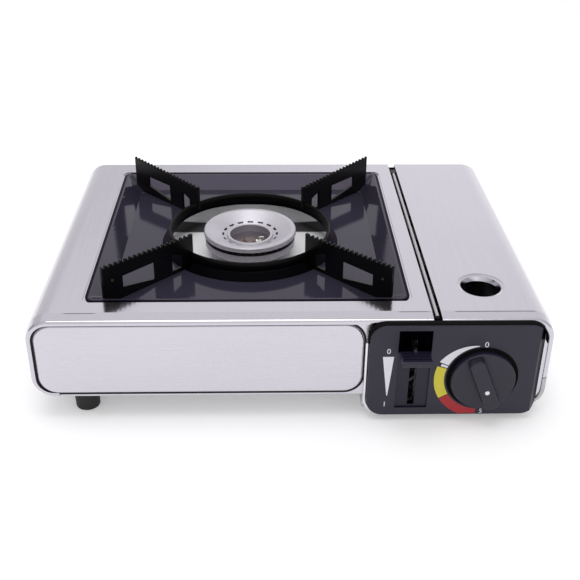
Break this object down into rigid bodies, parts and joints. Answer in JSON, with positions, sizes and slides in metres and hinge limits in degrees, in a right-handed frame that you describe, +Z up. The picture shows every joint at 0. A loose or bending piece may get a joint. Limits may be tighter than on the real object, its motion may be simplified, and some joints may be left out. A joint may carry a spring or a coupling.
{
  "type": "portable gas stove",
  "caption": "Low steel cassette stove with a square drip tray, serrated pan supports on the diagonals, round burner, hinged cartridge lid, control knob and lock lever.",
  "frame": {"origin": "on the ground under the middle of the whole object", "axes": "+X to the right of a person at the controls, +Y from the controls to the back, +Z up"},
  "size_m": [0.34, 0.277, 0.0952],
  "materials": {
    "stainless": "brushed stainless sheet",
    "plated_steel": "plated steel sheet",
    "bright_steel": "bright rolled sheet",
    "black_enamel": "glossy black enamel",
    "burner_alloy": "cast, satin",
    "valve_alloy": "die cast",
    "black_plastic": "matt moulded plastic",
    "white_plastic": "white inlay",
    "brass": "turned",
    "black_rubber": "soft moulded rubber",
    "ceramic": "white glazed ceramic insulator"
  },
  "bodies": {
    "casing": {"top_shell": "stainless", "front_panel": "stainless", "base_pan": "plated_steel", "rear_panel": "plated_steel", "bay_partition": "plated_steel", "cartridge_rails": "plated_steel", "hinge_fixed_leaf": "plated_steel", "hinge_pin": "plated_steel", "hinge_end_cap": "black_plastic", "burner_bowl": "burner_alloy", "burner_port_ring": "burner_alloy", "burner_cap": "burner_alloy", "burner_core": "plated_steel", "burner_stand": "plated_steel", "heat_reflector": "bright_steel", "mixing_tube": "burner_alloy", "gas_jet": "brass", "jet_bracket": "plated_steel", "gas_pipe": "valve_alloy", "control_panel": "black_plastic", "lever_pin": "plated_steel", "lever_bracket": "plated_steel", "guide_pins": "plated_steel", "valve_bracket": "plated_steel", "regulator_body": "valve_alloy", "cartridge_seal": "black_rubber", "piezo_igniter": "black_plastic", "electrode_ceramic": "ceramic", "electrode_tip": "plated_steel", "ignition_lead": "black_rubber", "floor_screws": "plated_steel", "foot_front_left": "black_rubber", "foot_front_right": "black_rubber", "foot_rear_left": "black_rubber", "foot_rear_right": "black_rubber"},
    "lid": {"cartridge_lid": "stainless", "hinge_lid_leaf": "plated_steel"},
    "knob": {"control_knob": "black_plastic", "knob_index_dot": "white_plastic", "valve_stem": "brass"},
    "lever": {"lever_arm": "plated_steel", "lever_paddle": "black_plastic"},
    "carriage": {"cartridge_carriage": "plated_steel"},
    "pan_support": {"drip_tray": "black_enamel", "pan_arm_front_left": "black_enamel", "pan_arm_front_right": "black_enamel", "pan_arm_rear_left": "black_enamel", "pan_arm_rear_right": "black_enamel"}
  },
  "joints": [
    {"name": "lid_hinge", "type": "hinge", "parent": "casing", "child": "lid", "pos_m": [0.093, 0, 0.0747], "axis": [0, -1, 0], "range_deg": [0, 95]},
    {"name": "knob_turn", "type": "hinge", "parent": "casing", "child": "knob", "pos_m": [0.124, -0.1245, 0.034], "axis": [0, -1, 0], "range_deg": [0, 160]},
    {"name": "lock_lever", "type": "hinge", "parent": "casing", "child": "lever", "pos_m": [0.0787, -0.061, 0.0355], "axis": [1, 0, 0], "range_deg": [0, 31]},
    {"name": "carriage_slide", "type": "slide", "parent": "casing", "child": "carriage", "axis": [0, -1, 0], "range_m": [0, 0.00535]},
    {"name": "pan_support_lift", "type": "slide", "parent": "casing", "child": "pan_support", "axis": [0, 0, 1], "range_m": [0, 0.08]}
  ],
  "couplings": [
    {"joint": "carriage_slide", "follows": "lock_lever", "m_per_rad": 0.009878}
  ]
}
